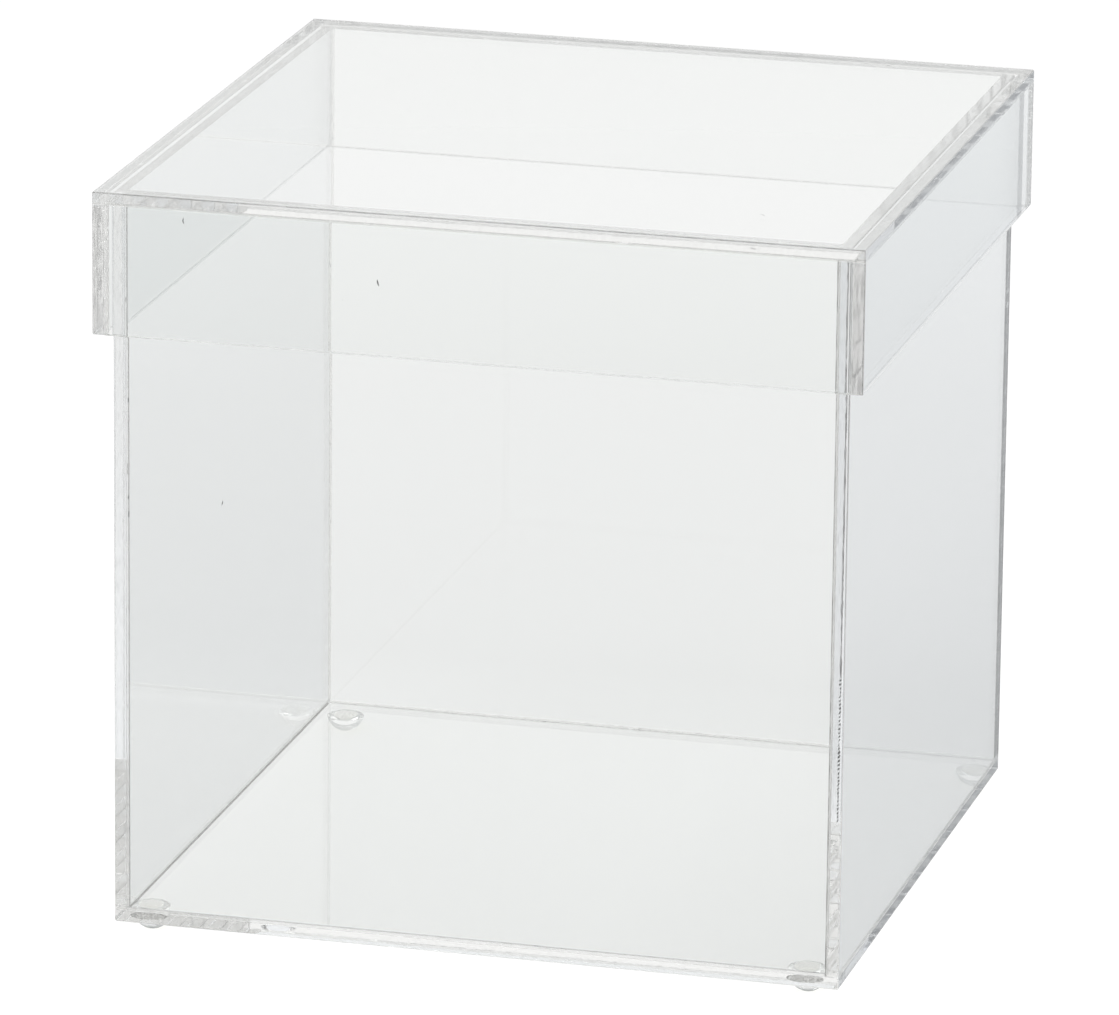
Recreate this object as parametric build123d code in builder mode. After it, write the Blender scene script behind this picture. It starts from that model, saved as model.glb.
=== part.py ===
from build123d import *
import os

# Sheet stock, in millimetres
sheet = 3.0  # thickness of every acrylic panel
arris = 0.25  # bevel that breaks each exposed outer edge

# Box
box_width = 180.0  # over the side walls, along X
box_depth = 180.0  # over the cut ends of the side walls, along Y
box_height = 180.0  # from the underside of the base to the rim

# Lid
lid_gap = 1.0  # clearance between skirt and wall, on each side
lid_height = 35.0  # from the top of the lid to the skirt's lower edge

# Feet, which are clear self-adhesive domes
foot_diameter = 9.5
foot_height = 3.8  # together with its adhesive disc
foot_flat_diameter = 3.2  # patch that the dome stands on
adhesive_diameter = 9.1
adhesive_thickness = 0.15
foot_inset = 9.5  # from each outer face in to a foot's centre
front_left_slip = 2.8  # this foot was stuck nearer the left face by so much
back_right_slip = 2.8  # this foot was stuck nearer the right face by so much

# Levels and spans of the box, whose feet stand on Z = 0
base_bottom = foot_height
base_top = base_bottom + sheet
rim = base_bottom + box_height

# Levels and spans of the lid, whose plate lies on the rim
lid_top = rim + sheet
skirt_bottom = lid_top - lid_height
lid_width = box_width + 2 * (lid_gap + sheet)
lid_depth = box_depth + 2 * (lid_gap + sheet)

# Levels and places of the feet
foot_top = base_bottom - adhesive_thickness
foot_x = box_width / 2 - foot_inset
foot_y = box_depth / 2 - foot_inset
foot_places = {
    "front_left": (-foot_x - front_left_slip, -foot_y),
    "front_right": (foot_x, -foot_y),
    "back_left": (-foot_x, foot_y),
    "back_right": (foot_x + back_right_slip, foot_y),
}

# Ends of an axis, as a direction and as an index into faces sorted along it
low, high = -1, 1
first_or_last = {low: 0, high: -1}

os.makedirs("parts", exist_ok=True)


# A plate that lies flat over the panels' edges, with its bonded face left sharp
def make_plate(name, width, depth, bottom, free):
    with BuildPart() as plate:
        with BuildSketch(Plane.XY.offset(bottom)):
            Rectangle(width, depth)
        extrude(amount=sheet)
        free_face = plate.faces().sort_by(Axis.Z)[first_or_last[free]]
        chamfer(free_face.edges() + plate.edges().filter_by(Axis.Z), arris)
    plate.part.label = name
    export_step(plate.part, f"parts/{name}.step")


# A side panel, which runs the full depth and shows its cut ends at the front and the back
def make_side_panel(name, side, width, depth, bottom, top, free):
    with BuildPart() as panel:
        with BuildSketch(Plane.YZ.offset(side * (width - sheet) / 2)):
            with Locations((0, (bottom + top) / 2)):
                Rectangle(depth, top - bottom)
        extrude(amount=sheet / 2, both=True)
        outer_face = panel.faces().sort_by(Axis.X)[first_or_last[side]]
        free_face = panel.faces().sort_by(Axis.Z)[first_or_last[free]]
        outer_rim = outer_face.edges().filter_by(Axis.Y).sort_by(Axis.Z)[first_or_last[free]]
        corners = outer_face.edges().filter_by(Axis.Z)
        chamfer(corners + free_face.edges().filter_by(Axis.X) + [outer_rim], arris)
    panel.part.label = name
    export_step(panel.part, f"parts/{name}.step")


# An end panel, which fits between two side panels, flush with their cut ends
def make_end_panel(name, end, width, depth, bottom, top, free):
    with BuildPart() as panel:
        with BuildSketch(Plane.XZ.offset(-end * (depth - sheet) / 2)):
            with Locations((0, (bottom + top) / 2)):
                Rectangle(width - 2 * sheet, top - bottom)
        extrude(amount=sheet / 2, both=True)
        outer_face = panel.faces().sort_by(Axis.Y)[first_or_last[end]]
        outer_rim = outer_face.edges().filter_by(Axis.X).sort_by(Axis.Z)[first_or_last[free]]
        chamfer(outer_rim, arris)
    panel.part.label = name
    export_step(panel.part, f"parts/{name}.step")


# A foot, which is a ball cut flat where it is stuck on and, lower down, where it stands
def make_foot(name, place):
    stuck_radius = foot_diameter / 2
    flat_radius = foot_flat_diameter / 2
    ball_centre = (stuck_radius**2 - flat_radius**2 + foot_top**2) / (2 * foot_top)
    ball_radius = (flat_radius**2 + ball_centre**2) ** 0.5
    with BuildPart() as foot:
        with Locations((*place, ball_centre)):
            Sphere(ball_radius)
        split(bisect_by=Plane.XY.offset(foot_top), keep=Keep.BOTTOM)
        split(bisect_by=Plane.XY, keep=Keep.TOP)
    foot.part.label = name
    export_step(foot.part, f"parts/{name}.step")


# The adhesive disc between a foot and the base
def make_adhesive(name, place):
    with BuildPart() as disc:
        with BuildSketch(Plane.XY.offset(foot_top)):
            with Locations(place):
                Circle(adhesive_diameter / 2)
        extrude(amount=adhesive_thickness)
    disc.part.label = name
    export_step(disc.part, f"parts/{name}.step")


# Box: the base lies under all four walls
make_plate("box_base", box_width, box_depth, base_bottom, free=low)
for name, side in {"left": low, "right": high}.items():
    make_side_panel(f"box_{name}_wall", side, box_width, box_depth, base_top, rim, free=high)
for name, end in {"front": low, "back": high}.items():
    make_end_panel(f"box_{name}_wall", end, box_width, box_depth, base_top, rim, free=high)

# Lid: the plate lies over all four panels of the skirt
make_plate("lid_plate", lid_width, lid_depth, rim, free=high)
for name, side in {"left": low, "right": high}.items():
    make_side_panel(f"lid_{name}_skirt", side, lid_width, lid_depth, skirt_bottom, rim, free=low)
for name, end in {"front": low, "back": high}.items():
    make_end_panel(f"lid_{name}_skirt", end, lid_width, lid_depth, skirt_bottom, rim, free=low)

# Feet: one near each corner, each on its own adhesive disc
for corner, place in foot_places.items():
    make_foot(f"foot_{corner}", place)
    make_adhesive(f"foot_{corner}_adhesive", place)
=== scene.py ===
import math

import bmesh
import bpy
from mathutils import Matrix, Vector


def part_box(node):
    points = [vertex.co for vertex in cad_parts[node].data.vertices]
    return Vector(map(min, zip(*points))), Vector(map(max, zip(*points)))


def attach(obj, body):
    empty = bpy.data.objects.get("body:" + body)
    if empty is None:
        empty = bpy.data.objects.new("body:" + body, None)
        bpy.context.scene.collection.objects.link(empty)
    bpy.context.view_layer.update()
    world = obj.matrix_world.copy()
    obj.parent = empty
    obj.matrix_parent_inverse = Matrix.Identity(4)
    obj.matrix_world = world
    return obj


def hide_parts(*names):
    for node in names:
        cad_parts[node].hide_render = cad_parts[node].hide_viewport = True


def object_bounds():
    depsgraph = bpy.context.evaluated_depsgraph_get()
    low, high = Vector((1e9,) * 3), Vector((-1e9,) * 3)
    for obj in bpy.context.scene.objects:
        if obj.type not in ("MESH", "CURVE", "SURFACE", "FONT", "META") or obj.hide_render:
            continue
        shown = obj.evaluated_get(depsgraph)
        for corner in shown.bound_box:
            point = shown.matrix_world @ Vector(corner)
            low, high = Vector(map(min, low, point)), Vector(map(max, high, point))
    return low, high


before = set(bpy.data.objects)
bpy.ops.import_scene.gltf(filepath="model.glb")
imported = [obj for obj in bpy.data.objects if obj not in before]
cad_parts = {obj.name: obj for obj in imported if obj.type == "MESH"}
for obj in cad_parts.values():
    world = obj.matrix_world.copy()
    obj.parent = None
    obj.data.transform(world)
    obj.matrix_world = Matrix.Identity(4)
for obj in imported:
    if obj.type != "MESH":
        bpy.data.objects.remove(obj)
cadLow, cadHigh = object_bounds()
scene = bpy.context.scene
mm = 0.001
white = (1, 1, 1, 1)
print("frame loaded:", len(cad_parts), "nodes")


# Render settings that clear sheet behind clear sheet needs
bounceSet = {"all": 128, "clear": 128, "mirror": 96, "seam": 96, "frosted": 3}

scene.view_settings.view_transform = "Standard"
scene.cycles.max_bounces = bounceSet["all"]
scene.cycles.transmission_bounces = bounceSet["clear"]
scene.cycles.glossy_bounces = bounceSet["mirror"]
scene.cycles.transparent_max_bounces = bounceSet["seam"]
scene.cycles.diffuse_bounces = bounceSet["frosted"]


# Camera: a long lens, a little to the right of the box and above it
cameraSet = {
    "place": (557.9, -2153.9, 736.3),  # mm
    "turn": 14.601,  # degrees to the left of straight ahead
    "tilt": 16.180,  # degrees down
    "roll": 0.628,
    "lens": 302.42,  # mm
    "sensor": 36,  # mm wide
    "clip": (0.05, 60),  # metres
}


def makeCamera(settings):
    data = bpy.data.cameras.new("camera")
    data.sensor_width = settings["sensor"]
    data.lens = settings["lens"]
    data.clip_start, data.clip_end = settings["clip"]
    camera = bpy.data.objects.new("camera", data)
    turn = Matrix.Rotation(math.radians(settings["turn"]), 4, "Z")
    tilt = Matrix.Rotation(math.radians(90 - settings["tilt"]), 4, "X")
    roll = Matrix.Rotation(math.radians(settings["roll"]), 4, "Z")
    camera.matrix_world = Matrix.Translation(Vector(settings["place"]) * mm) @ turn @ tilt @ roll
    scene.collection.objects.link(camera)
    scene.camera = camera


makeCamera(cameraSet)
print("camera set")


# Small helpers for node trees
def newMaterial(name):
    material = bpy.data.materials.new(name)
    material.use_nodes = True
    material.node_tree.nodes.clear()
    return material, material.node_tree


def addNode(tree, kind, inputs=None, **settings):
    node = tree.nodes.new(kind)
    for key, value in settings.items():
        setattr(node, key, value)
    for key, value in (inputs or {}).items():
        if isinstance(value, bpy.types.NodeSocket):
            tree.links.new(value, node.inputs[key])
        else:
            node.inputs[key].default_value = value
    return node.outputs


def maths(tree, operation, first, second=0.0, clamp=False):
    inputs = {0: first, 1: second}
    return addNode(tree, "ShaderNodeMath", inputs, operation=operation, use_clamp=clamp)[0]


def times(tree, first, second):
    return maths(tree, "MULTIPLY", first, second)


def plus(tree, first, second, clamp=False):
    return maths(tree, "ADD", first, second, clamp)


def above(tree, value, level):
    return maths(tree, "GREATER_THAN", value, level)


def below(tree, value, level):
    return maths(tree, "LESS_THAN", value, level)


def vectorMaths(tree, operation, inputs, result="Vector"):
    return addNode(tree, "ShaderNodeVectorMath", inputs, operation=operation)[result]


def axesOf(tree, place):
    return addNode(tree, "ShaderNodeSeparateXYZ", {0: place})


def lightPath(tree):
    return addNode(tree, "ShaderNodeLightPath")


def objectPlace(tree):
    return addNode(tree, "ShaderNodeTexCoord")["Object"]


def blendValue(tree, share, first, second):
    inputs = {0: share, 2: first, 3: second}
    return addNode(tree, "ShaderNodeMix", inputs, data_type="FLOAT")[0]


def blendColour(tree, share, first, second):
    inputs = {0: share, 6: first, 7: second}
    return addNode(tree, "ShaderNodeMix", inputs, data_type="RGBA")[2]


def ramp(tree, value, start, end, low=0.0, high=1.0):
    inputs = {0: value, 1: start, 2: end, 3: low, 4: high}
    return addNode(tree, "ShaderNodeMapRange", inputs)[0]


def blendShader(tree, share, first, second):
    return addNode(tree, "ShaderNodeMixShader", {0: share, 1: first, 2: second})[0]


def plainShader(tree, kind, colour):
    return addNode(tree, "ShaderNodeBsdf" + kind, {"Color": colour})[0]


def glowShader(tree, strength, colour=white):
    return addNode(tree, "ShaderNodeEmission", {"Color": colour, "Strength": strength})[0]


def showSurface(tree, shader):
    addNode(tree, "ShaderNodeOutputMaterial", {"Surface": shader})


# World: white to the camera, and to the clear sheets a studio with a dimmer ceiling
worldSet = {
    "passed": (0.98, 0.25),  # seen through a sheet: at the horizon, and overhead
    "mirrored": (0.86, 0.25),  # seen in a sheet's face: at the horizon, and overhead
    "coolTint": (0.945, 0.970, 1.0, 1),  # the cooler right and front of the studio
    "cool": (-0.1, 0.1),  # how far right a direction leans where that begins, and is full
    "front": (0.70, 0.07),  # the dim front half, for light turned in the sheets and for guided light
    "frontStart": (-0.1, -0.6),  # how far forward a direction leans where that half begins, and is full
    "guidedRight": 0.86,  # share left of what light guided out to the right sees
    "rise": (0.40, 0.80),  # height in a direction at which overhead begins, and is full
    "fill": 0.66,  # what the studio's walls add to the light on the floor
    "guidedTurns": 4.5,  # light turned oftener than this inside the sheets is guided light
}


def makeWorld(settings):
    world = bpy.data.worlds.new("studio")
    world.use_nodes = True
    scene.world = world
    tree = world.node_tree
    tree.nodes.clear()
    leans = axesOf(tree, addNode(tree, "ShaderNodeTexCoord")["Generated"])
    ray = lightPath(tree)
    forward = ramp(tree, leans["Y"], *settings["frontStart"])
    forward = times(tree, forward, above(tree, ray["Glossy Depth"], 0.5))
    passed = ramp(tree, leans["Z"], *settings["rise"], *settings["passed"])
    mirrored = ramp(tree, leans["Z"], *settings["rise"], *settings["mirrored"])
    inSheets = blendValue(tree, ray["Is Transmission Ray"], mirrored, passed)
    rightward = ramp(tree, leans["X"], *settings["cool"])
    guided = above(tree, ray["Glossy Depth"], settings["guidedTurns"])
    guidedRight = blendValue(tree, times(tree, guided, rightward), 1.0, settings["guidedRight"])
    inSheets = times(tree, inSheets, guidedRight)
    front = blendValue(tree, guided, *settings["front"])
    inSheets = blendValue(tree, forward, inSheets, maths(tree, "MINIMUM", inSheets, front))
    strength = blendValue(tree, ray["Is Glossy Ray"], settings["fill"], inSheets)
    strength = blendValue(tree, ray["Is Camera Ray"], strength, 1.0)
    onlyMirrored = maths(tree, "SUBTRACT", ray["Is Glossy Ray"], ray["Is Transmission Ray"], clamp=True)
    cool = times(tree, onlyMirrored, rightward)
    cool = maths(tree, "MAXIMUM", cool, times(tree, ray["Is Glossy Ray"], forward))
    colour = blendColour(tree, cool, white, settings["coolTint"])
    light = addNode(tree, "ShaderNodeBackground", {"Color": colour, "Strength": strength})
    addNode(tree, "ShaderNodeOutputWorld", {"Surface": light[0]})


# Floor: pale paper that shows white round the box and keeps its shadow
floorSet = {
    "size": 24.0,  # metres
    "paper": 0.62,  # the paper's own colour under the lamps
    "glow": 0.38,  # lifts the paper to white for the camera
    "fade": (0.5, 1.6),  # metres from the box over which paper turns into plain white
    "passedFade": (0.45, 0.75),  # the same, seen straight through the sheets
    "passedGlow": 0.125,  # the same lift, seen straight through the sheets
    "passedFar": 1.0,  # and the white that the paper turns into there
    # Painted shadow: along these drifts and beside the left wall, the lift seen through the sheets falls just
    # behind the box and to its right, and rises farther off
    "shadowDrifts": (("Y", -0.09, 0.07, 0.08), ("Y", 0.085, 0.16, -0.04), ("Y", 0.16, 0.6, 0.10),
               ("Y", -0.10, -0.35, 0.14), ("X", 0.02, 0.09, -0.07)),  # that lift's rises along an axis
    "leftShade": (-0.085, -0.10, -0.05),  # and its fall beside the box's left wall
    "mirroredPaper": (0.515, 0.53, 0.55, 1),  # the paper's own colour after a reflection in a sheet
    "mirroredGlow": 0.04,  # its lift, and the white that it turns into there
    "mirroredFar": 0.86,
    "mirroredFade": (0.15, 0.95),
    "guidedGlow": (0.35, 0.20),  # guided light sees it lifted by this: behind the box, and to its right
    "front": 0.50,  # how the sheets see the floor between the box and the camera
    "frontFade": (-0.12, -0.45),  # metres in front over which the paper turns into that
    "leftDim": 0.20,  # how guided light that leaves by a left edge sees the floor beside it
    "inset": 1.0,  # mm inside the lid's edges where the floor beside them begins
    "reach": 8.0,  # mm over which it changes there
}


def makeFloor(settings):
    half = settings["size"] / 2
    outline = [(-half, -half, 0), (half, -half, 0), (half, half, 0), (-half, half, 0)]
    mesh = bpy.data.meshes.new("floor")
    mesh.from_pydata(outline, [], [(0, 1, 2, 3)])
    floor = bpy.data.objects.new("floor", mesh)
    scene.collection.objects.link(floor)
    material, tree = newMaterial("whitePaper")
    ray = lightPath(tree)
    camera = ray["Is Camera Ray"]
    through = times(tree, ray["Is Transmission Ray"], below(tree, ray["Glossy Depth"], 0.5))
    straight = plus(tree, camera, through, clamp=True)
    turned = maths(tree, "SUBTRACT", ray["Is Glossy Ray"], straight, clamp=True)
    guided = above(tree, ray["Glossy Depth"], worldSet["guidedTurns"])
    place = objectPlace(tree)
    axes = axesOf(tree, place)

    # Close to the box: paper, and what lifts it for each kind of light
    level = settings["paper"]
    colour = blendColour(tree, turned, (level, level, level, 1), settings["mirroredPaper"])
    inset, reach = settings["inset"] * mm, settings["reach"] * mm
    back, side = cadHigh.y - inset, cadHigh.x
    guidedGlow = ramp(tree, axes["X"], side - inset, side + reach, *settings["guidedGlow"])
    turnedGlow = blendValue(tree, guided, settings["mirroredGlow"], guidedGlow)
    beside = ramp(tree, axes["Y"], back + reach, back)
    # Painted shadow beside the left wall and along the drifts
    start, end, fall = settings["leftShade"]
    shade = times(tree, ramp(tree, axes["X"], start, end, 0.0, fall), beside)
    passedGlow = plus(tree, shade, settings["passedGlow"])
    for axis, start, end, rise in settings["shadowDrifts"]:
        passedGlow = plus(tree, ramp(tree, axes[axis], start, end, 0.0, rise), passedGlow)
    nearLight = blendValue(tree, through, times(tree, turned, turnedGlow), passedGlow)
    nearLight = blendValue(tree, camera, nearLight, settings["glow"])
    inputs = {0: plainShader(tree, "Diffuse", colour), 1: glowShader(tree, nearLight)}
    near = addNode(tree, "ShaderNodeAddShader", inputs)[0]

    # Far from it: plain white
    farLight = blendValue(tree, through, settings["mirroredFar"], settings["passedFar"])
    farLight = blendValue(tree, camera, farLight, 1.0)
    rightward = times(tree, turned, ramp(tree, axes["X"], 0.0, side))
    far = glowShader(tree, farLight, blendColour(tree, rightward, white, worldSet["coolTint"]))
    away = vectorMaths(tree, "LENGTH", {0: place}, "Value")
    passedShare, cameraShare = (ramp(tree, away, *settings[key]) for key in ("passedFade", "fade"))
    share = blendValue(tree, straight, ramp(tree, away, *settings["mirroredFade"]),
                       blendValue(tree, camera, passedShare, cameraShare))
    shader = blendShader(tree, share, near, far)

    # Dimmer in front of the box and by its left wall
    forward = times(tree, ramp(tree, axes["Y"], *settings["frontFade"]), turned)
    besideLeft = times(tree, below(tree, axes["X"], 2 * inset - side), beside)
    besideLeft = times(tree, besideLeft, guided)
    for share, dim in ((forward, settings["front"]), (besideLeft, settings["leftDim"])):
        shader = blendShader(tree, share, shader, glowShader(tree, dim, worldSet["coolTint"]))
    showSurface(tree, shader)
    mesh.materials.append(material)


makeWorld(worldSet)
makeFloor(floorSet)


# Lamps: two wide soft boxes, a main one at the left and a weaker one at the right
lampSet = {
    "mainLamp": {"place": (-1.6, -1.2, 2.6), "size": 1.8, "power": 52},
    "sideLamp": {"place": (2.2, -0.6, 2.2), "size": 1.6, "power": 26},
}


def makeLamps(settings):
    for name, lamp in settings.items():
        data = bpy.data.lights.new(name, "AREA")
        data.size = lamp["size"]
        data.energy = lamp["power"]
        place = Vector(lamp["place"])
        aim = (Vector((0, 0, cadHigh.z / 2)) - place).to_track_quat("-Z", "Y")
        light = bpy.data.objects.new(name, data)
        light.matrix_world = Matrix.Translation(place) @ aim.to_matrix().to_4x4()
        scene.collection.objects.link(light)


makeLamps(lampSet)
print("stage made")


# Finishes
acrylicSet = {
    "tint": (0.993, 0.998, 0.992, 1),  # what is left of light that crosses one sheet
    "ior": 1.49,
    "shade": (0.975, 0.977, 0.975, 1),  # what each face leaves of the light of a lamp
    "waveSize": 22.0,  # mm, the slow waves of a cast sheet
    "waveDepth": 0.0006,  # mm
    "hairlines": (0.5, 34.0),  # mm, from one faint rub mark to the next and its length
    "hairlineTurn": (0.35, 0.5, 0.25),  # radians that they lean from the sheets' edges
    "hairlineRange": (0.64, 0.72),  # heights of the noise where a mark begins, and is deepest
    "hairlineDepth": 0.00006,  # mm
    "dustCell": 7.0,  # mm from one speck of dust to the next
    "dustSize": 0.011,  # as a share of that
    "dustLevel": 0.45,
}
patchRange = (0.35, 0.65)  # heights of a noise where its patches begin, and are full


def grey(level):
    return (level, level, level * 0.985, 1)


def clearShader(tree, tint=acrylicSet["tint"], ior=acrylicSet["ior"], roughness=0.0, normal=None):
    inputs = {"Base Color": tint, "Transmission Weight": 1.0, "Roughness": roughness, "IOR": ior}
    if normal is not None:
        inputs["Normal"] = normal
    return addNode(tree, "ShaderNodeBsdfPrincipled", inputs)[0]


# White haze that is as pale on its lit side as on the other
def milkShader(tree, level):
    front = plainShader(tree, "Diffuse", grey(level))
    return blendShader(tree, 0.5, front, plainShader(tree, "Translucent", grey(level)))


# Lamps shine straight through a clear face, and it bends what is seen through it
def showClear(tree, shader, shade):
    ray = lightPath(tree)
    share = plus(tree, ray["Is Shadow Ray"], ray["Is Diffuse Ray"], clamp=True)
    showSurface(tree, blendShader(tree, share, shader, plainShader(tree, "Transparent", shade)))


def noiseAt(tree, place, size, detail=2.0):
    inputs = {"Vector": place, "Scale": 1 / (size * mm), "Detail": detail}
    return addNode(tree, "ShaderNodeTexNoise", inputs)["Fac"]


def specksAt(tree, place, cell):
    inputs = {"Vector": place, "Scale": 1 / (cell * mm)}
    return addNode(tree, "ShaderNodeTexVoronoi", inputs)["Distance"]


def wavesAt(tree, place, settings, detail=2.0):
    return times(tree, noiseAt(tree, place, settings["waveSize"], detail), settings["waveDepth"] * mm)


def bumped(tree, height):
    return addNode(tree, "ShaderNodeBump", {"Height": height, "Distance": 1.0})[0]


def stretched(tree, place, amounts):
    return vectorMaths(tree, "MULTIPLY", {0: place, 1: amounts})


# Polished sheet: slow waves, faint rub marks and a few specks of dust
def makeClearAcrylic(settings):
    material, tree = newMaterial("clearAcrylic")
    place = objectPlace(tree)
    across, along = settings["hairlines"]
    inputs = {"Vector": place, "Rotation": settings["hairlineTurn"]}
    turned = addNode(tree, "ShaderNodeMapping", inputs)[0]
    rubbed = noiseAt(tree, stretched(tree, turned, (1, across / along, across / along)), across, 1.0)
    rub = ramp(tree, rubbed, *settings["hairlineRange"], 0.0, -settings["hairlineDepth"] * mm)
    normal = bumped(tree, plus(tree, wavesAt(tree, place, settings, 0.0), rub))
    dust = below(tree, specksAt(tree, place, settings["dustCell"]), settings["dustSize"])
    grain = plainShader(tree, "Diffuse", grey(settings["dustLevel"]))
    showClear(tree, blendShader(tree, dust, clearShader(tree, normal=normal), grain), settings["shade"])
    return material


# A bonded seam: the two sheets are one body there, so light goes straight on
seamSet = {
    "kinds": {  # least and most of the cement's haze, the size of its patches in mm, and how pale it is
        "seam": {"haze": (0.16, 0.32), "size": 2.5, "milk": 0.74},
        "mottledSeam": {"haze": (0.30, 0.70), "size": 0.8, "milk": 0.74},
        "dullSeam": {"haze": (0.30, 0.55), "size": 2.0, "milk": 0.12, "chatter": 0.40},
    },
    "own": {  # bonds that aren't plain seams
        ("box_left_wall", "box_base"): "mottledSeam",
        ("box_right_wall", "box_back_wall"): "dullSeam",
    },
    "hazeRange": (0.36, 0.66),  # heights of the noise at the least and the most
    "chatterPitch": 1.05,  # mm from one saw tooth's mark to the next
    "chatterTop": 45.0,  # mm, how high they reach
    "bubbleCell": 2.4,  # mm from one trapped bubble to the next
    "bubbleSize": 0.32,  # radius of the largest, as a share of that
    "bubbleDrift": (9.0, 0.54, 0.75),  # mm between bubbly stretches, and the noise at their edge and middle
    "voids": (((-92.6, 79.0, 183.8), 2.6), ((-92.3, 70.5, 183.8), 1.5), ((92.4, 66.0, 183.8), 2.8),
              ((92.8, 58.5, 183.8), 1.7), ((92.0, 84.0, 183.8), 1.6)),  # mm, where cement never reached
    "voidWobble": (1.2, 2.2, 0.9),  # mm, the size and depth of their outline's waves, and how far out they start
    "shade": (0.97, 0.97, 0.97, 1),
}


def makeSeam(name, settings):
    material, tree = newMaterial(name)
    place = objectPlace(tree)
    kind = settings["kinds"][name]
    haze = ramp(tree, noiseAt(tree, place, kind["size"], 4.0), *settings["hazeRange"], *kind["haze"])
    if "chatter" in kind:
        height = axesOf(tree, place)["Z"]
        turn = times(tree, height, 2 * math.pi / (settings["chatterPitch"] * mm))
        low = below(tree, height, settings["chatterTop"] * mm)
        tooth = times(tree, maths(tree, "SINE", turn), low)
        haze = plus(tree, times(tree, tooth, kind["chatter"]), haze)
    size, start, full = settings["bubbleDrift"]
    largest = ramp(tree, noiseAt(tree, place, size, 0.0), start, full, 0.0, settings["bubbleSize"])
    bubble = below(tree, specksAt(tree, place, settings["bubbleCell"]), largest)
    size, depth, outset = settings["voidWobble"]
    wobble = times(tree, noiseAt(tree, place, size), depth * mm)
    for centre, radius in settings["voids"]:
        away = vectorMaths(tree, "DISTANCE", {0: place, 1: Vector(centre) * mm}, "Value")
        empty = below(tree, plus(tree, away, wobble), (radius + outset) * mm)
        bubble = maths(tree, "MAXIMUM", bubble, empty)
    shader = plainShader(tree, "Transparent", white)
    shader = blendShader(tree, haze, shader, milkShader(tree, kind["milk"]))
    showClear(tree, blendShader(tree, bubble, shader, clearShader(tree)), settings["shade"])
    return material


# Saw-cut ends, scraped but not polished, and the plates' smoother edges. Marks are patches of painted shade,
# dark grey for the darker surroundings that a rough cut shows: how strong, and how long and wide in mm.
# Streaks have a depth, width and length in mm, and blotches a depth and size.
# An end that looks right past "right" mm has its own darker, bluer tint: painted shade for the dimmer, cooler
# right side.
cutSet = {
    "wall": {"roughness": (0.004, 0.03), "tint": grey(0.98), "shadeMarks": (0.12, 3.0, 0.3), "seed": 3.0,
             "streaks": (0.003, 0.35, 14.0), "blotches": (0.003, 0.9)},
    "skirt": {"roughness": (0.03, 0.09), "tint": grey(0.99), "shadeMarks": (0.45, 4.5, 0.40), "seed": 8.0,
              "streaks": (0.010, 0.22, 9.0), "blotches": (0.008, 0.6)},
    "lid_right_skirt": {"roughness": (0.10, 0.20), "tint": grey(0.99), "shadeMarks": (0.46, 4.5, 0.46),
                        "seed": 4.0, "streaks": (0.014, 0.25, 7.0), "blotches": (0.010, 0.5)},
    "base": {"roughness": (0.01, 0.05), "tint": grey(0.99), "shadeMarks": (0.08, 0.9, 0.5), "seed": 5.0,
             "streaks": (0.003, 0.30, 9.0), "blotches": (0.005, 0.7),
             "right": (89.9, (0.74, 0.77, 0.80, 1))},
    "plate": {"roughness": (0.012, 0.045), "tint": grey(0.98), "shadeMarks": (0.06, 2.0, 0.4), "seed": 6.0,
              "streaks": (0.003, 0.30, 9.0), "blotches": (0.004, 0.9),
              "right": (93.9, (0.78, 0.81, 0.84, 1))},
    "free": {"roughness": (0.05, 0.14), "tint": grey(0.88), "shadeMarks": (0.30, 1.2, 0.4), "seed": 1.0},
}
sawSet = {
    "step": (0.15, 0.35),  # mm across and along a cut, between the grid lines that the marks press into
    "roughRange": (0.3, 0.7),  # heights of the noise at the least and the most roughness
    "shadeMarkRange": (0.46, 0.66),  # and where a patch of painted shade begins, and is full
    "shadeGrey": (0.22, 0.22, 0.22, 1),
}


def makeCutEnd(name, settings):
    material, tree = newMaterial(name)
    place = objectPlace(tree)
    strength, long, wide = settings["shadeMarks"]
    grain = noiseAt(tree, stretched(tree, place, (1, 1, wide / long)), wide, 3.0)
    tint = settings["tint"]
    # Painted shade: an end that looks right gets a darker, bluer tint
    if "right" in settings:
        edge, own = settings["right"]
        tint = blendColour(tree, above(tree, axesOf(tree, place)["X"], edge * mm), tint, own)
    rough = ramp(tree, grain, *sawSet["roughRange"], *settings["roughness"])
    # Painted shade: where the grain is high, dark grey is mixed into the cut's clear glass
    paintedShade = ramp(tree, grain, *sawSet["shadeMarkRange"], 0.0, strength)
    shader = clearShader(tree, tint, roughness=rough)
    shader = blendShader(tree, paintedShade, shader, plainShader(tree, "Diffuse", sawSet["shadeGrey"]))
    showClear(tree, shader, acrylicSet["shade"])
    return material


# Bevels and grooves: on a few bevels a dark grey haze is painted shade for the darker surroundings that a rough
# edge shows, a few grooves have a dark grey haze, the usual grooves a near white haze that is a painted
# highlight, and the usual bevels are nearly clean
edgeSet = {
    "scraped": {"tint": grey(0.70), "roughness": 0.22, "share": (0.25, 0.55), "level": 0.18, "grain": 4.0},
    "soft": {"tint": grey(0.93), "roughness": 0.06, "share": (0.05, 0.20), "level": 0.4, "grain": 4.0},
    "handled": {"tint": grey(0.70), "roughness": 0.22, "share": (0.45, 0.80), "level": 0.15, "grain": 14.0},
    "groove": {"tint": grey(0.98), "roughness": 0.0, "share": (0.35, 0.70), "level": 0.12, "grain": 6.0},
    "highlitGroove": {"tint": grey(0.98), "roughness": 0.0, "share": (0.15, 0.40), "level": 0.95, "grain": 6.0},
}


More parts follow.
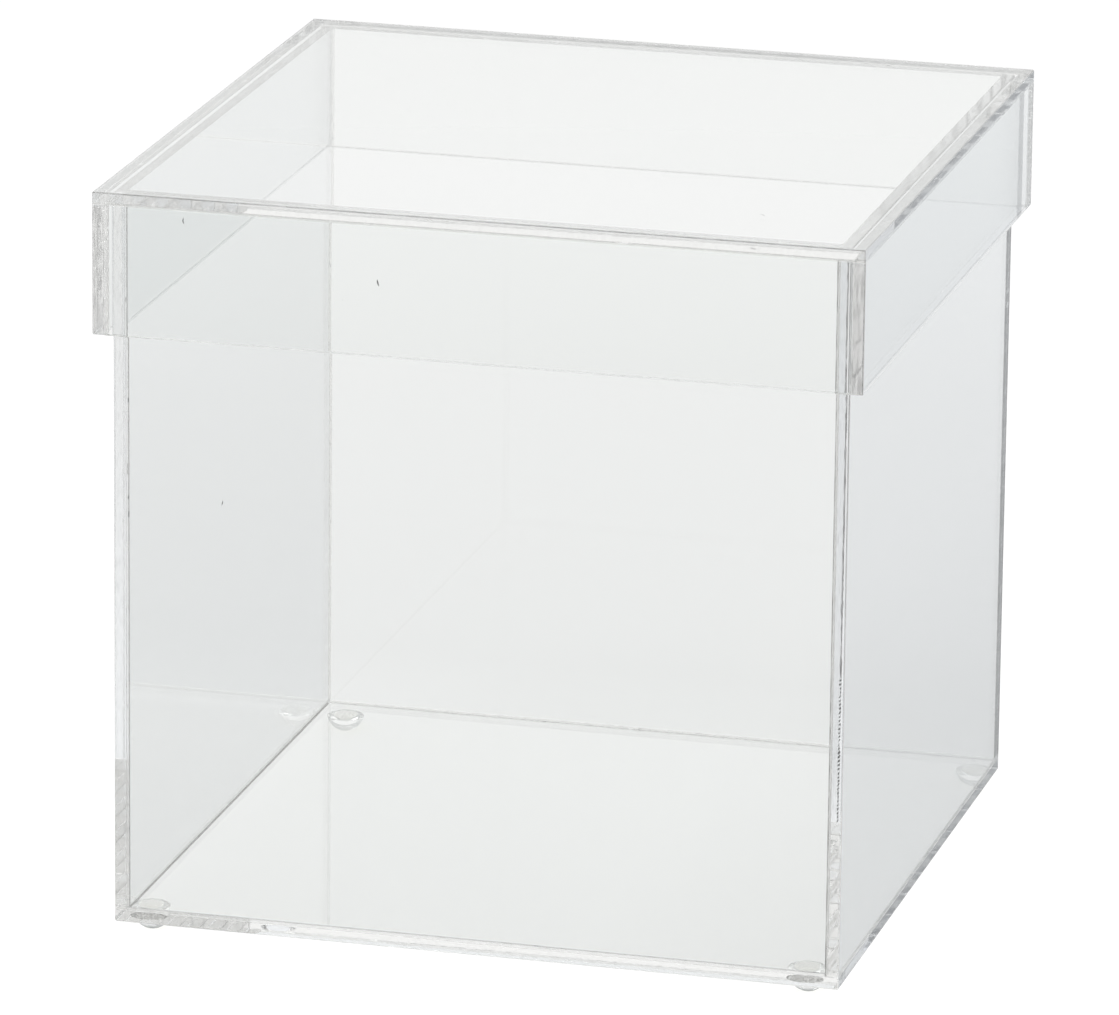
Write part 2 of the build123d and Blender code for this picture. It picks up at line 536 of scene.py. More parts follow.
def makeEdge(name, settings):
    material, tree = newMaterial(f"{name}Edge")
    grain = noiseAt(tree, objectPlace(tree), settings["grain"], 3.0)
    share = ramp(tree, grain, *patchRange, *settings["share"])
    shader = clearShader(tree, settings["tint"], roughness=settings["roughness"])
    # On the few shaded bevels the dark haze is painted shade, and in the usual grooves the near white haze is a
    # painted highlight
    shader = blendShader(tree, share, shader, milkShader(tree, settings["level"]))
    showClear(tree, shader, acrylicSet["shade"])
    return material


# Cement squeezed out into the inner corners, here and there stained or milky
cementSet = {
    "tint": grey(0.86),
    "ior": 1.48,
    "waveSize": 1.6,  # mm
    "waveDepth": 0.006,  # mm
    "stainSize": 3.0,  # mm
    "stainRange": (0.3, 0.7, 0.65, 1.0),  # heights of the noise, and how much of a stain shows at each
    "levels": {"milk": 0.95, "stain": 0.08},
}


def makeCement(settings):
    material, tree = newMaterial("cementBead")
    place = objectPlace(tree)
    normal = bumped(tree, wavesAt(tree, place, settings))
    shader = clearShader(tree, settings["tint"], settings["ior"], normal=normal)
    uneven = ramp(tree, noiseAt(tree, place, settings["stainSize"], 3.0), *settings["stainRange"])
    for label, level in settings["levels"].items():
        amount = addNode(tree, "ShaderNodeAttribute", attribute_name=label)["Fac"]
        shader = blendShader(tree, times(tree, amount, uneven), shader, milkShader(tree, level))
    showClear(tree, shader, acrylicSet["shade"])
    return material


clearAcrylic = makeClearAcrylic(acrylicSet)
seams = {name: makeSeam(name, seamSet) for name in seamSet["kinds"]}
cutEnds = {kind: makeCutEnd(f"{kind}SawCut", settings) for kind, settings in cutSet.items()}
edgeFinishes = {name: makeEdge(name, settings) for name, settings in edgeSet.items()}
cementBead = makeCement(cementSet)
print("acrylic finishes made")


# Trees for Geometry Nodes, with named inputs
def newTree(name, inputs):
    tree = bpy.data.node_groups.new(name, "GeometryNodeTree")
    tree.interface.new_socket("Geometry", in_out="INPUT", socket_type="NodeSocketGeometry")
    for label, kind in inputs.items():
        tree.interface.new_socket(label, in_out="INPUT", socket_type="NodeSocket" + kind)
    tree.interface.new_socket("Geometry", in_out="OUTPUT", socket_type="NodeSocketGeometry")
    return tree, addNode(tree, "NodeGroupInput")


def attributeNamed(tree, name, kind):
    return addNode(tree, "GeometryNodeInputNamedAttribute", {"Name": name}, data_type=kind)[0]


def seededNoise(tree, seed, inputs):
    inputs = {"W": seed, **inputs}
    return addNode(tree, "ShaderNodeTexNoise", inputs, noise_dimensions="4D")["Fac"]


# Ends a tree: real geometry, and one more finish on a selection
def dress(tree, geometry, selection, finish):
    real = addNode(tree, "GeometryNodeRealizeInstances", {0: geometry})[0]
    inputs = {"Geometry": real, "Selection": selection, "Material": finish}
    dressed = addNode(tree, "GeometryNodeSetMaterial", inputs)[0]
    addNode(tree, "NodeGroupOutput", {0: dressed})


# Runs a tree on an object and gives the plain mesh that comes out
def meshFromTree(name, start, tree, inputs):
    source = bpy.data.objects.new(name, start)
    scene.collection.objects.link(source)
    modifier = source.modifiers.new("tree", "NODES")
    modifier.node_group = tree
    sockets = {item.name: item.identifier for item in tree.interface.items_tree if item.in_out == "INPUT"}
    for key, value in inputs.items():
        modifier[sockets[key]] = value
    graph = bpy.context.evaluated_depsgraph_get()
    mesh = bpy.data.meshes.new_from_object(source.evaluated_get(graph), depsgraph=graph)
    bpy.data.objects.remove(source)
    mesh.name = name
    return mesh


# Makes a finished mesh a piece that rides on a body
def addPiece(name, mesh, body, node=None):
    piece = bpy.data.objects.new(name, mesh)
    scene.collection.objects.link(piece)
    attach(piece, body)
    if node:
        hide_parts(node)


# Saw marks: streaks along the cut and blotches, pressed into the fine grid of a cut end
def makeSawMarks():
    tree, given = newTree("sawMarks", {
        "streak depth": "Float", "streak size": "Vector", "blotch depth": "Float", "blotch size": "Float",
        "seed": "Float", "finish": "Material"})
    place = addNode(tree, "GeometryNodeInputPosition")[0]
    streakPlace = vectorMaths(tree, "DIVIDE", {0: place, 1: given["streak size"]})
    perBlotch = maths(tree, "DIVIDE", 1.0, given["blotch size"])
    blotchPlace = vectorMaths(tree, "SCALE", {0: place, 3: perBlotch})
    depth = 0.0
    for kind, way, detail in (("streak", streakPlace, 2.0), ("blotch", blotchPlace, 3.0)):
        noise = seededNoise(tree, given["seed"], {"Vector": way, "Detail": detail})
        depth = plus(tree, times(tree, noise, given[f"{kind} depth"]), depth)
    inward = times(tree, times(tree, depth, attributeNamed(tree, "inside", "FLOAT")), -1.0)
    normal = addNode(tree, "GeometryNodeInputNormal")[0]
    inputs = {"Geometry": given["Geometry"], "Offset": vectorMaths(tree, "SCALE", {0: normal, 3: inward})}
    pressed = addNode(tree, "GeometryNodeSetPosition", inputs)[0]
    dress(tree, pressed, attributeNamed(tree, "cutEnd", "INT"), given["finish"])
    return tree


# Cement beads: a hollow fillet swept along each line, whose width wanders a little
def makeBeadTree(points, flatness):
    tree, given = newTree("cementBeads", {
        "width": "Float", "unevenness": "Float", "wander": "Float", "stations": "Int", "seed": "Float",
        "finish": "Material", "flat finish": "Material"})
    side = attributeNamed(tree, "side", "FLOAT_VECTOR")
    curve = addNode(tree, "GeometryNodeMeshToCurve", {0: given["Geometry"]})[0]
    inputs = {"Curve": curve, "Normal": side}
    curve = addNode(tree, "GeometryNodeSetCurveNormal", inputs, mode="FREE")[0]
    inputs = {"Curve": curve, "Count": given["stations"]}
    curve = addNode(tree, "GeometryNodeResampleCurve", inputs)[0]
    place = addNode(tree, "GeometryNodeInputPosition")[0]
    perWander = maths(tree, "DIVIDE", 1.0, given["wander"])
    noise = seededNoise(tree, given["seed"], {"Vector": place, "Scale": perWander})
    uneven = times(tree, maths(tree, "SUBTRACT", noise, 0.5), given["unevenness"])
    width = times(tree, given["width"], attributeNamed(tree, "breadth", "FLOAT"))
    scale = times(tree, width, plus(tree, uneven, 1.0))

    # The fillet's outline: its corner, and then points along a hollow from one sheet to the other
    index = addNode(tree, "GeometryNodeInputIndex")[0]
    t = maths(tree, "DIVIDE", maths(tree, "SUBTRACT", index, 1.0), points - 2.0, clamp=True)
    notCorner = maths(tree, "MINIMUM", index, 1.0)
    x = times(tree, notCorner, maths(tree, "POWER", maths(tree, "SUBTRACT", 1.0, t), 2.0))
    y = times(tree, notCorner, maths(tree, "POWER", t, 2.0))
    point = addNode(tree, "ShaderNodeCombineXYZ", {"X": x, "Y": y})[0]
    inputs = {"Resolution": points, "Radius": 1.0}
    circle = addNode(tree, "GeometryNodeCurvePrimitiveCircle", inputs)[0]
    outline = addNode(tree, "GeometryNodeSetPosition", {"Geometry": circle, "Position": point})[0]
    inputs = {"Curve": curve, "Profile Curve": outline, "Fill Caps": True, "Scale": scale}
    bead = addNode(tree, "GeometryNodeCurveToMesh", inputs)[0]
    inputs = {"Geometry": bead, "Material": given["finish"]}
    dressed = addNode(tree, "GeometryNodeSetMaterial", inputs)[0]

    # Faces that lie flat on a sheet are bonded to it
    straightest = 0.0
    for part in axesOf(tree, addNode(tree, "GeometryNodeInputNormal")[0]):
        straightest = maths(tree, "MAXIMUM", maths(tree, "ABSOLUTE", part), straightest)
    dress(tree, dressed, above(tree, straightest, flatness), given["flat finish"])
    return tree


sawMarks = makeSawMarks()
beadTree = makeBeadTree(points=9, flatness=0.998)


# Acrylic sheets, each with its bevelled edges and the patches where it is bonded
sheetSet = {
    "arris": 0.25 * mm,  # bevel of each exposed outer edge
    "groove": 0.12 * mm,  # bevel of each outer edge that lies in a seam
    "wideGroove": 0.28 * mm,  # the same where the box's front meets its right side
    "innerBevel": 0.14 * mm,  # scraped strip along the inside of each free edge
    "hairline": 0.02 * mm,  # thickness of a bonded seam
    "restGap": 0.04 * mm,  # air between the rim and the lid's plate
    "starved": 0.6 * mm,  # length without cement at both ends of an upright seam
    "touch": 0.006 * mm,  # faces nearer than this count as meeting
}
beadSet = {
    "width": {"box": 0.36 * mm, "lid": 0.30 * mm},
    "unevenness": 0.4,  # as a share of the width
    "wander": 7 * mm,  # length over which the width changes
    "stations": 90,
    "breadth": {"lid_left_front": 2.2, "box_back_left": 0.3, "box_right_back": 0.3,
                "box_back_down": 0.55},  # beads that are so many times as wide
    "stain": {"box_left_front": 0.6, "box_front_right": 0.15, "box_left_down": 0.45},
    "milk": {"lid_left_front": 0.85},
}
# Edges whose finish isn't the usual one, each named by the two ways that it faces
ownEdges = {
    "lid_plate": {("front", "up"): "scraped", ("front", "right"): "scraped"},
    "lid_front_skirt": {("front", "down"): "handled", ("front", "right"): "groove"},
    "lid_right_skirt": {
        ("right", "front"): "scraped", ("right", "down"): "handled", ("right", "back"): "handled"},
    "box_front_wall": {("front", "left"): "groove", ("front", "right"): "groove"},
    "box_right_wall": {("right", "back"): "handled"},
}
finishes = {"clear": clearAcrylic, **seams, **edgeFinishes, "free": cutEnds["free"], "footPatch": None}
finishIndex = {name: i for i, name in enumerate(finishes)}
ways = {"left": Vector((-1, 0, 0)), "right": Vector((1, 0, 0)), "front": Vector((0, -1, 0)),
        "back": Vector((0, 1, 0)), "down": Vector((0, 0, -1)), "up": Vector((0, 0, 1))}
opposite = {"left": "right", "right": "left", "front": "back", "back": "front", "down": "up", "up": "down"}
sides = ("left", "right", "front", "back")
uprights = [("left", "front"), ("front", "right"), ("right", "back"), ("back", "left")]
bodyParts = {
    "box": {"plate": "base", "panel": "wall", "plateFree": "down", "panelFree": "up"},
    "lid": {"plate": "plate", "panel": "skirt", "plateFree": "up", "panelFree": "down"},
}


def axisOf(way):
    return max(range(3), key=lambda i: abs(ways[way][i]))


# Moves a box's face that looks one way inwards by an amount
def drawIn(low, high, way, amount):
    axis = axisOf(way)
    if ways[way][axis] > 0:
        high[axis] -= amount
    else:
        low[axis] += amount


def outerWays(name):
    side = name.split("_")[1]
    if side in ("left", "right"):
        return (side, "front", "back")
    return (side,) if side in sides else ()


# The part of a sheet that cement reaches, which leaves the outer grooves open
def gluedBox(name):
    low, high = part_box(name)
    for way in outerWays(name):
        drawIn(low, high, way, sheetSet["groove"])
    return low, high


# The inner corners of a body: their lines, and the room that a bead takes
def cornerLines(body):
    parts = bodyParts[body]
    width = beadSet["width"][body]
    panels = {side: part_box(f"{body}_{side}_{parts['panel']}") for side in sides}
    inner = {side: panels[side][0 if ways[side][axisOf(side)] > 0 else 1][axisOf(side)] for side in sides}
    low, high = panels["left"]
    plateWay = opposite[parts["panelFree"]]
    plateLevel, freeLevel = (low.z, high.z) if plateWay == "down" else (high.z, low.z)
    lines = {}
    for one, other in uprights:
        x, y = (inner[one], inner[other]) if axisOf(one) == 0 else (inner[other], inner[one])
        start = Vector((x, y, plateLevel - ways[plateWay].z * width))
        lines[f"{one}_{other}"] = (start, Vector((x, y, freeLevel)), opposite[one], opposite[other])
    for side in sides:
        axis = axisOf(side)
        along = 1 - axis
        start, end = Vector((0, 0, plateLevel)), Vector((0, 0, plateLevel))
        start[axis] = end[axis] = inner[side]
        first, last = ("front", "back") if along else ("left", "right")
        start[along], end[along] = inner[first] + width, inner[last] - width
        lines[f"{side}_{plateWay}"] = (start, end, opposite[side], opposite[plateWay])
    return lines


def beadRoom(line, width):
    start, end, one, other = line
    corners = [point + across for point in (start, end)
               for across in (Vector(), width * (ways[one] + ways[other]))]
    return Vector(map(min, *corners)), Vector(map(max, *corners))


# Where a sheet's faces meet its neighbours: the way it looks there, and the patch's corners
def bondsOf(name, glued):
    low, high = glued[name]
    touch, starved = sheetSet["touch"], sheetSet["starved"]
    upright = name.split("_")[1] in sides
    found = []
    for other, (otherLow, otherHigh) in glued.items():
        first = Vector(map(max, low, otherLow))
        last = Vector(map(min, high, otherHigh))
        for way, normal in ways.items():
            axis = axisOf(way)
            mine, theirs = (high, otherLow) if normal[axis] > 0 else (low, otherHigh)
            flat = [i for i in range(3) if i != axis]
            meets = abs(mine[axis] - theirs[axis]) < touch
            if other != name and meets and all(last[i] - first[i] > touch for i in flat):
                whole = all(last[i] - first[i] > high[i] - low[i] - touch for i in flat)
                if axis != 2 and upright and other.startswith(name[:4]):
                    first.z += starved
                    last.z -= starved
                own = seamSet["own"]
                kind = own.get((name, other), own.get((other, name), "seam"))
                found.append({"way": way, "flat": flat, "first": first, "last": last, "whole": whole,
                              "finish": kind})
    return found


# The scraped strip along the inside of a panel's free edge
def innerStrip(name, free):
    first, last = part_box(name)
    side = name.split("_")[1]
    axis = axisOf(side)
    drawIn(first, last, side, last[axis] - first[axis] - sheetSet["innerBevel"])
    return {"way": free, "flat": [0, 1], "first": first, "last": last, "whole": False, "finish": "soft"}


def facing(face, way, share=0.99):
    return face.normal.dot(ways[way]) > share


def bevelEdges(bm, pairs, width, own, usual):
    picked = []
    for edge in bm.edges:
        for pair in pairs:
            if all(any(facing(face, way) for face in edge.link_faces) for way in pair):
                picked.append(edge)
    made = bmesh.ops.bevel(bm, geom=picked, offset=width, offset_type="OFFSET", segments=1, affect="EDGES")
    for face in made["faces"]:
        face.normal_update()
        named = [own[pair] for pair in own if all(facing(face, way, 0.5) for way in pair)]
        face.material_index = finishIndex[named[0] if named else usual]


def overlaps(face, bond):
    for i in bond["flat"]:
        span = [vert.co[i] for vert in face.verts]
        start, end = bond["first"][i] + sheetSet["touch"], bond["last"][i] - sheetSet["touch"]
        if min(span) > end or max(span) < start:
            return False
    return True


# Splits a bonded face along the outline of the patch and marks the patch
def markBond(bm, bond, faces):
    for i in bond["flat"]:
        for edge in (bond["first"][i], bond["last"][i]):
            point, normal = Vector(), Vector()
            point[i], normal[i] = edge, 1
            near = [face for face in faces if overlaps(face, bond)]
            edges = list(dict.fromkeys(e for face in near for e in face.edges))
            verts = list(dict.fromkeys(v for face in near for v in face.verts))
            made = bmesh.ops.bisect_plane(bm, geom=near + edges + verts, plane_co=point, plane_no=normal,
                                          dist=sheetSet["touch"])
            cut = [item for item in made["geom"] if isinstance(item, bmesh.types.BMFace)]
            faces = [face for face in faces if face not in near] + cut
    for face in faces:
        centre = face.calc_center_median()
        if all(bond["first"][i] < centre[i] < bond["last"][i] for i in bond["flat"]):
            face.material_index = finishIndex[bond["finish"]]
    return faces


def splitEdge(bm, start, end, count):
    row = [start]
    for left in range(count, 1, -1):
        edge = next(e for e in row[-1].link_edges if e.other_vert(row[-1]) is end)
        row.append(bmesh.utils.edge_split(edge, row[-1], 1 / left)[1])
    return row + [end]


# Turns a cut end into a fine grid that the saw marks can press into
def gridEnd(bm, face, inside, cutEnd, steps):
    outward = face.normal.copy()
    u = 0 if abs(outward.y) > 0.5 else 1
    low, lowTop, high, highTop = sorted(face.verts, key=lambda v: (round(v.co[u], 6), round(v.co.z, 6)))
    across = round((high.co[u] - low.co[u]) / (steps[0] * mm))
    along = round((lowTop.co.z - low.co.z) / (steps[1] * mm))
    first = splitEdge(bm, low, high, across)
    last = splitEdge(bm, lowTop, highTop, across)
    left = splitEdge(bm, low, lowTop, along)
    right = splitEdge(bm, high, highTop, along)
    bm.faces.remove(face)
    rows = [first]
    for j in range(1, along):
        middle = [bm.verts.new(left[j].co.lerp(right[j].co, i / across)) for i in range(1, across)]
        for vert in middle:
            vert[inside] = 1.0
        rows.append([left[j]] + middle + [right[j]])
    rows.append(last)
    turned = (ways["right"] if u == 0 else ways["back"]).cross(ways["up"]).dot(outward) < 0
    for lower, upper in zip(rows, rows[1:]):
        for i in range(across):
            quad = [lower[i], lower[i + 1], upper[i + 1], upper[i]]
            cell = bm.faces.new(quad[::-1] if turned else quad)
            cell[cutEnd] = 1
            cell.smooth = True
    for vert in first + last + left + right:
        for edge in vert.link_edges:
            if len(edge.link_faces) == 2 and edge.link_faces[0][cutEnd] != edge.link_faces[1][cutEnd]:
                edge.smooth = False


# Marks the round patches of the base's underside that the feet are stuck to
def markFootPatches(bm, patches):
    under = next(face for face in bm.faces if facing(face, "down"))
    outline = list(under.edges)
    bmesh.ops.delete(bm, geom=[under], context="FACES_ONLY")
    for place, radius in patches:
        ring = []
        for i in range(footSet["segments"]):
            angle = -2 * math.pi * i / footSet["segments"]
            ring.append(bm.verts.new(place + radius * Vector((math.cos(angle), math.sin(angle), 0))))
        patch = bm.faces.new(ring)
        patch.material_index = finishIndex["footPatch"]
        outline += list(patch.edges)
    made = bmesh.ops.triangle_fill(
        bm, edges=outline, use_dissolve=False, use_beauty=True, normal=ways["down"])
    for face in made["geom"]:
        if isinstance(face, bmesh.types.BMFace):
            face.normal_update()
            if face.normal.z > 0:
                face.normal_flip()


def makeSheet(name, body, glued, arrised, grooved, cutWays, free=None, patches=()):
    low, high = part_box(name)
    bonds = bondsOf(name, glued)
    for bond in bonds:
        if bond["whole"]:
            drawIn(low, high, bond["way"], sheetSet["hairline"])
    if body == "box" and high.z > (cadLow.z + cadHigh.z) / 2:
        high.z -= sheetSet["restGap"]
    bm = bmesh.new()
    inside = bm.verts.layers.float.new("inside")
    cutEnd = bm.faces.layers.int.new("cutEnd")
    size = Matrix.Diagonal((*(high - low), 1))
    bmesh.ops.create_cube(bm, size=1, matrix=Matrix.Translation((low + high) / 2) @ size)
    broad = [pair for pair in grooved if body == "box" and pair == ("front", "right")]
    narrow = [pair for pair in grooved if pair not in broad]
    own = ownEdges.get(name, {})
    bevelEdges(bm, narrow, sheetSet["groove"], own, "highlitGroove")
    bevelEdges(bm, broad, sheetSet["wideGroove"], own, "highlitGroove")
    bevelEdges(bm, arrised, sheetSet["arris"], own, "soft")
    if free:
        bonds.append(innerStrip(name, free))
        for face in bm.faces:
            if facing(face, free):
                face.material_index = finishIndex["free"]
    if patches:
        markFootPatches(bm, patches)
    lengthwise = name.split("_")[1] not in sides
    steps = sawSet["step"][::-1] if lengthwise else sawSet["step"]
    for way in cutWays:
        for face in [f for f in bm.faces if facing(f, way)]:
            gridEnd(bm, face, inside, cutEnd, steps)
    for way in ways:
        faces = [face for face in bm.faces if not face[cutEnd] and facing(face, way)]
        for bond in bonds:
            if bond["way"] == way:
                faces = markBond(bm, bond, faces)
    mesh = bpy.data.meshes.new(name)
    bm.to_mesh(mesh)
    bm.free()
    for material in finishes.values():
        mesh.materials.append(material)
    if cutWays:
        kind = name if name in cutSet else name.split("_")[-1]
        cut = cutSet[kind]
        depth, across, along = (value * mm for value in cut["streaks"])
        blotchDepth, blotchSize = (value * mm for value in cut["blotches"])
        mesh = meshFromTree(name, mesh, sawMarks, {
            "streak depth": depth, "blotch depth": blotchDepth, "blotch size": blotchSize,
            "streak size": (along, along, across) if lengthwise else (across, across, along),
            "seed": cut["seed"], "finish": cutEnds[kind]})
    addPiece(f"{name}_sheet", mesh, body, name)


# Feet: clear domes, each stuck on with a thin disc whose adhesive has trapped air
footSet = {
    "segments": 64,
    "rings": 14,
    "crowding": 1.6,  # how closely the rings stand towards the flat patch
    "flat": 1.6 * mm,  # radius of the patch that a dome stands on
    "lumpiness": 0.008,  # as a share of the radius
    "tint": (0.99, 0.99, 0.99, 1),
    "ior": 1.50,
    "shade": grey(0.98),
    "waveSize": 1.5,  # mm
    "waveDepth": 0.012,  # mm
    "gap": 0.008 * mm,
    "sharp": 35,  # degrees, the least angle of an edge that isn't smoothed
}
adhesiveSet = {
    "mottleSize": 0.75,  # mm from one patch that has taken hold to the next
    "dry": (0.54, 0.64),  # where the mottle is higher than this, air is trapped
    "gritSize": 0.3,  # mm, the grey specks in it
    "gritRange": (0.42, 0.62),  # heights of the noise where they begin, and are full
    "grit": (0.0, 0.50),  # least and most of them
    "milk": 0.05,  # share of the film that is hazy
    "rim": 0.7,  # how dark dust has made its outermost ring
    "dustRange": (0.35, 0.6),  # heights of the mottle where the dust thins out
    "rings": ((0.86, 0.0), (0.95, 0.4), (1.0, 1.0)),  # radii as a share, and how far each is rim
    "aslantShade": (0.3, 0.8, 0.1, 1.0),  # from straight on to aslant, and how much grit and dust show at each: the greying aslant is painted shade
    "levels": {"milk": 0.9, "grit": 0.25, "dust": 0.2},
    "tint": (0.99, 0.99, 0.99, 1),
    "shade": grey(0.985),
}
corners = ("front_left", "front_right", "back_left", "back_right")


def makeDomeFinish(settings):
    material, tree = newMaterial("clearFoot")
    normal = bumped(tree, wavesAt(tree, objectPlace(tree), settings))
    showClear(tree, clearShader(tree, settings["tint"], settings["ior"], normal=normal), settings["shade"])
    return material


# The film holds in patches, and shines like glass where air is trapped
def makeAdhesiveFinish(settings):
    material, tree = newMaterial("footAdhesive")
    place = stretched(tree, objectPlace(tree), (1, 1, 0))
    mottle = noiseAt(tree, place, settings["mottleSize"], 4.0)
    milk, grit, dust = (milkShader(tree, settings["levels"][key]) for key in ("milk", "grit", "dust"))
    # Painted shade: grit and dust show more the more aslant the film is seen
    slant = addNode(tree, "ShaderNodeLayerWeight")["Facing"]
    aslantShade = ramp(tree, slant, *settings["aslantShade"])
    specks = noiseAt(tree, place, settings["gritSize"])
    specks = ramp(tree, specks, *settings["gritRange"], *settings["grit"])
    straight = plainShader(tree, "Transparent", settings["tint"])
    shader = blendShader(tree, settings["milk"], straight, milk)
    shader = blendShader(tree, times(tree, specks, aslantShade), shader, grit)
    shader = blendShader(tree, ramp(tree, mottle, *settings["dry"]), shader, clearShader(tree))
    rim = addNode(tree, "ShaderNodeAttribute", attribute_name="rim")["Fac"]
    dusty = ramp(tree, mottle, *settings["dustRange"], settings["rim"], settings["rim"] / 3)
    shader = blendShader(tree, times(tree, times(tree, dusty, rim), aslantShade), shader, dust)
    turned = above(tree, lightPath(tree)["Glossy Depth"], 0.5)
    showClear(tree, blendShader(tree, turned, shader, straight), settings["shade"])
    return material


clearFoot = makeDomeFinish(footSet)
footAdhesive = makeAdhesiveFinish(adhesiveSet)
finishes["footPatch"] = footAdhesive


def joinRings(bm, rings):
    count = len(rings[0])
    for lower, upper in zip(rings, rings[1:]):
        for i in range(count):
            j = (i + 1) % count
            bm.faces.new((lower[i], lower[j], upper[j], upper[i])).smooth = True


# Closes a ring with a fan round one point
def closeRing(bm, ring, place):
    tip = bm.verts.new(place)
    return [bm.faces.new((one, other, tip)) for one, other in zip(ring, ring[1:] + ring[:1])]


# Turns a profile of radius, height and dust round an upright axis. The top's finish is the last one.
def turnedMesh(name, centre, profile, lump, materials):
    bm = bmesh.new()
    rim = bm.verts.layers.float.new("rim")
    count = footSet["segments"]
    rings = []
    for radius, z, dust in profile:
        ring = []
        for i in range(count):
            angle = 2 * math.pi * i / count
            lumps = 0.5 + 0.3 * math.sin(3 * angle + centre.x * 900) + 0.2 * math.sin(7 * angle)
            wander = 1 - lump * lumps
            vert = bm.verts.new((centre.x + radius * wander * math.cos(angle),
                                 centre.y + radius * wander * math.sin(angle), z))
            vert[rim] = dust
            ring.append(vert)
        rings.append(ring)
    joinRings(bm, rings)
    ends = (rings[0][::-1], profile[0][1], 0), (rings[-1], profile[-1][1], len(materials) - 1)
    for ring, z, index in ends:
        for face in closeRing(bm, ring, (centre.x, centre.y, z)):
            face.material_index = index
    for edge in bm.edges:
        if edge.calc_face_angle(0) > math.radians(footSet["sharp"]):
            edge.smooth = False
    mesh = bpy.data.meshes.new(name)
    bm.to_mesh(mesh)
    bm.free()
    for material in materials:
        mesh.materials.append(material)
    return mesh


def makeFeet(settings):
    lump = settings["lumpiness"]
    for corner in corners:
        low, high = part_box(f"foot_{corner}")
        centre = (low + high) / 2
        wide, flat, tall = (high.x - low.x) / 2, settings["flat"], high.z - low.z
        middle = (wide**2 - flat**2 + tall**2) / (2 * tall)
        ball = math.hypot(flat, middle)
        profile = []
        for k in range(settings["rings"] + 1):
            z = tall * (k / settings["rings"])**settings["crowding"]
            radius = min(wide, math.sqrt(ball**2 - (middle - z)**2))
            profile.append((radius, min(low.z + z, high.z - settings["gap"]), 0.0))
        name = f"foot_{corner}_dome"
        mesh = turnedMesh(name, centre, profile, lump, (clearFoot, footAdhesive))
        addPiece(name, mesh, "box", f"foot_{corner}")

        low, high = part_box(f"foot_{corner}_adhesive")
        wide, bottom, top = (high.x - low.x) / 2, low.z + settings["gap"], high.z - settings["gap"]
        rings = adhesiveSet["rings"]
        profile = [(wide * share, bottom, dust) for share, dust in rings]
        profile += [(wide * share, top, dust) for share, dust in rings[::-1]]
        name = f"foot_{corner}_film"
        mesh = turnedMesh(name, centre, profile, lump / 2, (footAdhesive,))
        addPiece(name, mesh, "box", f"foot_{corner}_adhesive")
    print("feet made")


def footPatches():
    patches = []
    for corner in corners:
        low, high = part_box(f"foot_{corner}_adhesive")
        centre = (low + high) / 2
        patches.append((Vector((centre.x, centre.y, high.z)), (high.x - low.x) / 2))
    return patches


def makeBeads(body, lines):
    off = sheetSet["hairline"] / 2
    points, edges, across = [], [], []
    given = {"breadth": [], "stain": [], "milk": []}
    for label, (start, end, one, other) in lines.items():
        first, second = ways[one], ways[other]
        shift = off * (first + second)
        if first.cross(second).dot(end - start) < 0:
            start, end = end, start
        edges.append((len(points), len(points) + 1))
        points += [start + shift, end + shift]
        across += [first, first]
        for key, values in given.items():
            values += [beadSet[key].get(f"{body}_{label}", 1.0 if key == "breadth" else 0.0)] * 2
    start = bpy.data.meshes.new(f"{body}_cement")
    start.from_pydata(points, edges, [])
    side = start.attributes.new("side", "FLOAT_VECTOR", "POINT")
    for item, value in zip(side.data, across):
        item.vector = value
    for key, values in given.items():
        start.attributes.new(key, "FLOAT", "POINT").data.foreach_set("value", values)
    inputs = {key: beadSet[key] for key in ("unevenness", "wander", "stations")}
    mesh = meshFromTree(f"{body}_cement", start, beadTree, {
        **inputs, "width": beadSet["width"][body] - off, "seed": float(len(body) + len(lines)),
        "finish": cementBead, "flat finish": seams["seam"]})
    addPiece(f"{body}_cement_beads", mesh, body)


def makeSheets():
    for body, parts in bodyParts.items():
        plate, panel, free = parts["plate"], parts["panel"], parts["panelFree"]
        names = [f"{body}_{side}_{panel}" for side in sides] + [f"{body}_{plate}"]
        glued = {name: gluedBox(name) for name in names}
        lines = cornerLines(body)
        for label, line in lines.items():
            breadth = beadSet["breadth"].get(f"{body}_{label}", 1.0)
            glued[f"bead_{label}"] = beadRoom(line, beadSet["width"][body] * breadth)
        bonded = opposite[free]
        arrised = uprights + [(side, parts["plateFree"]) for side in sides]
        patches = footPatches() if body == "box" else ()
        makeSheet(f"{body}_{plate}", body, glued, arrised, [], sides, patches=patches)
        for side in ("left", "right"):
            arrised = [(side, "front"), (side, "back"), (side, free), ("front", free), ("back", free)]
            grooved = [(side, bonded), ("front", bonded), ("back", bonded)]
            makeSheet(f"{body}_{side}_{panel}", body, glued, arrised, grooved, ("front", "back"), free)
        for side in ("front", "back"):
            grooved = [(side, bonded), (side, "left"), (side, "right")]
            makeSheet(f"{body}_{side}_{panel}", body, glued, [(side, free)], grooved, (), free)
        makeBeads(body, lines)
        print(body, "sheets and cement made")


makeSheets()
makeFeet(footSet)


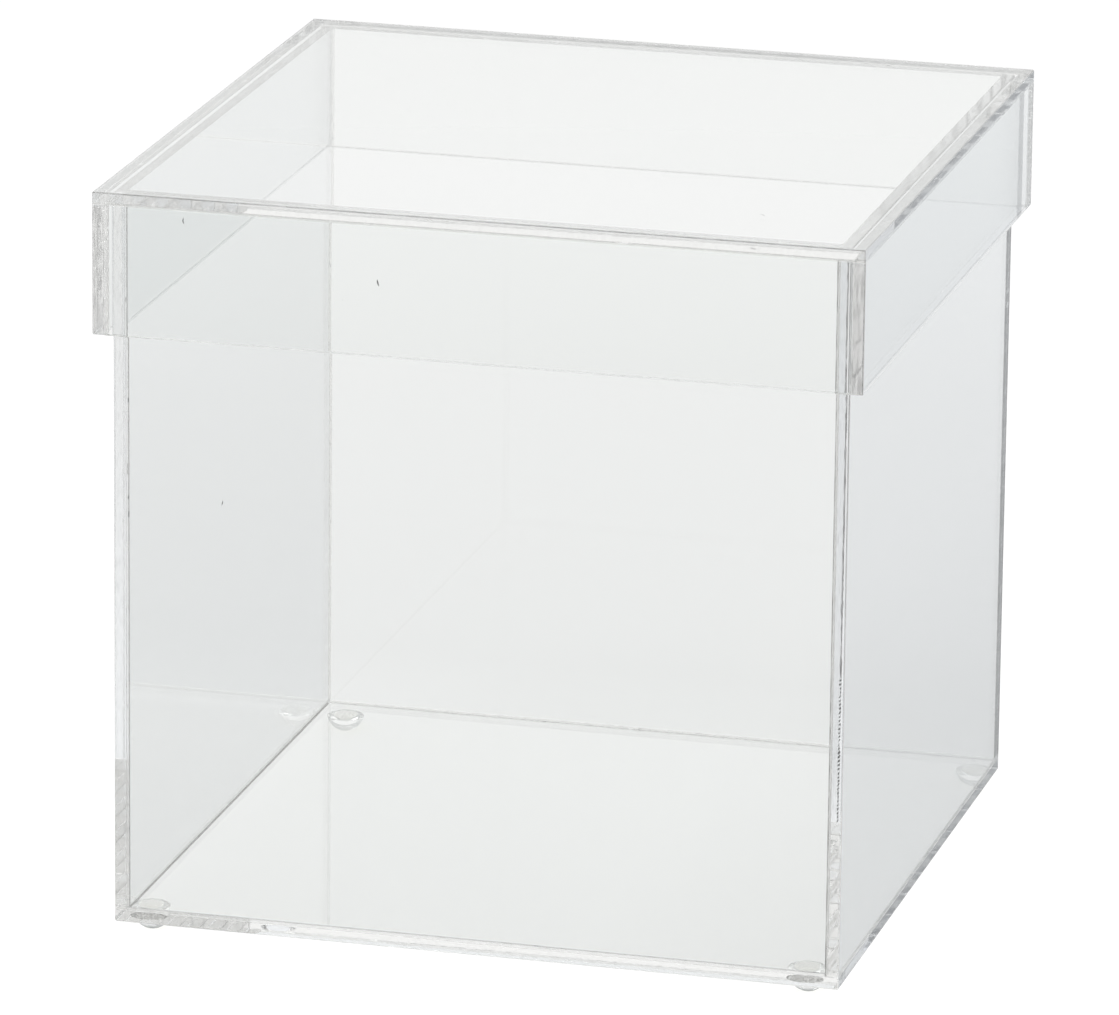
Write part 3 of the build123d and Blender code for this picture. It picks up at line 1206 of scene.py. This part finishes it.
# Nicks: small dark slivers just under a sheet's surface. Their sizes are in mm, and they lean in degrees.
nickSet = {
    "lid": [
        {"place": (-23.45, -93.90, 169.94), "way": "front", "size": (1.8, 0.36), "bend": -0.08, "lean": 14},
        {"place": (-71.16, -93.90, 181.39), "way": "front", "size": (1.6, 0.28), "bend": -0.28, "lean": 4},
        {"place": (63.14, -68.69, 186.70), "way": "up", "size": (2.2, 0.24), "bend": 0.35, "lean": 50},
    ],
    "box": [
        {"place": (-62.95, -89.90, 111.59), "way": "front", "size": (1.4, 0.20), "bend": 0.10, "lean": -14},
    ],
}
nickFinish = {"grain": 0.4, "share": (0.45, 0.95), "level": 0.12, "shade": grey(0.9)}  # grain in mm


def makeNickFinish(settings):
    material, tree = newMaterial("nick")
    share = ramp(tree, noiseAt(tree, objectPlace(tree), settings["grain"]), *patchRange, *settings["share"])
    dark = plainShader(tree, "Diffuse", grey(settings["level"]))
    shader = blendShader(tree, share, plainShader(tree, "Transparent", white), dark)
    showClear(tree, shader, settings["shade"])
    return material


def makeNicks(finish, stations=12, around=8, blunt=0.7, flat=0.4):
    for body, nicks in nickSet.items():
        bm = bmesh.new()
        for nick in nicks:
            centre, (long, wide) = Vector(nick["place"]), nick["size"]
            outward = ways[nick["way"]]
            upward = ways["up"] if nick["way"] != "up" else ways["back"]
            lean = Matrix.Rotation(math.radians(nick["lean"]), 3, outward)
            lengthways, sideways = lean @ upward, lean @ upward.cross(outward)
            rings = []
            for k in range(1, stations):
                t = k / stations
                half = math.sin(math.pi * t)**blunt * wide / 2
                middle = centre + (t - 0.5) * long * lengthways + 4 * t * (1 - t) * nick["bend"] * sideways
                ring = []
                for i in range(around):
                    angle = 2 * math.pi * i / around
                    out = math.cos(angle) * half * sideways + math.sin(angle) * half * flat * outward
                    ring.append(bm.verts.new((middle + out) * mm))
                rings.append(ring)
            joinRings(bm, rings)
            for ring, end in ((rings[0][::-1], -0.5), (rings[-1], 0.5)):
                for face in closeRing(bm, ring, (centre + end * long * lengthways) * mm):
                    face.smooth = True
        bmesh.ops.recalc_face_normals(bm, faces=bm.faces)
        mesh = bpy.data.meshes.new(f"{body}_nicks")
        bm.to_mesh(mesh)
        bm.free()
        mesh.materials.append(finish)
        addPiece(f"{body}_nicks", mesh, body)


makeNicks(makeNickFinish(nickFinish))
print("nicks made")
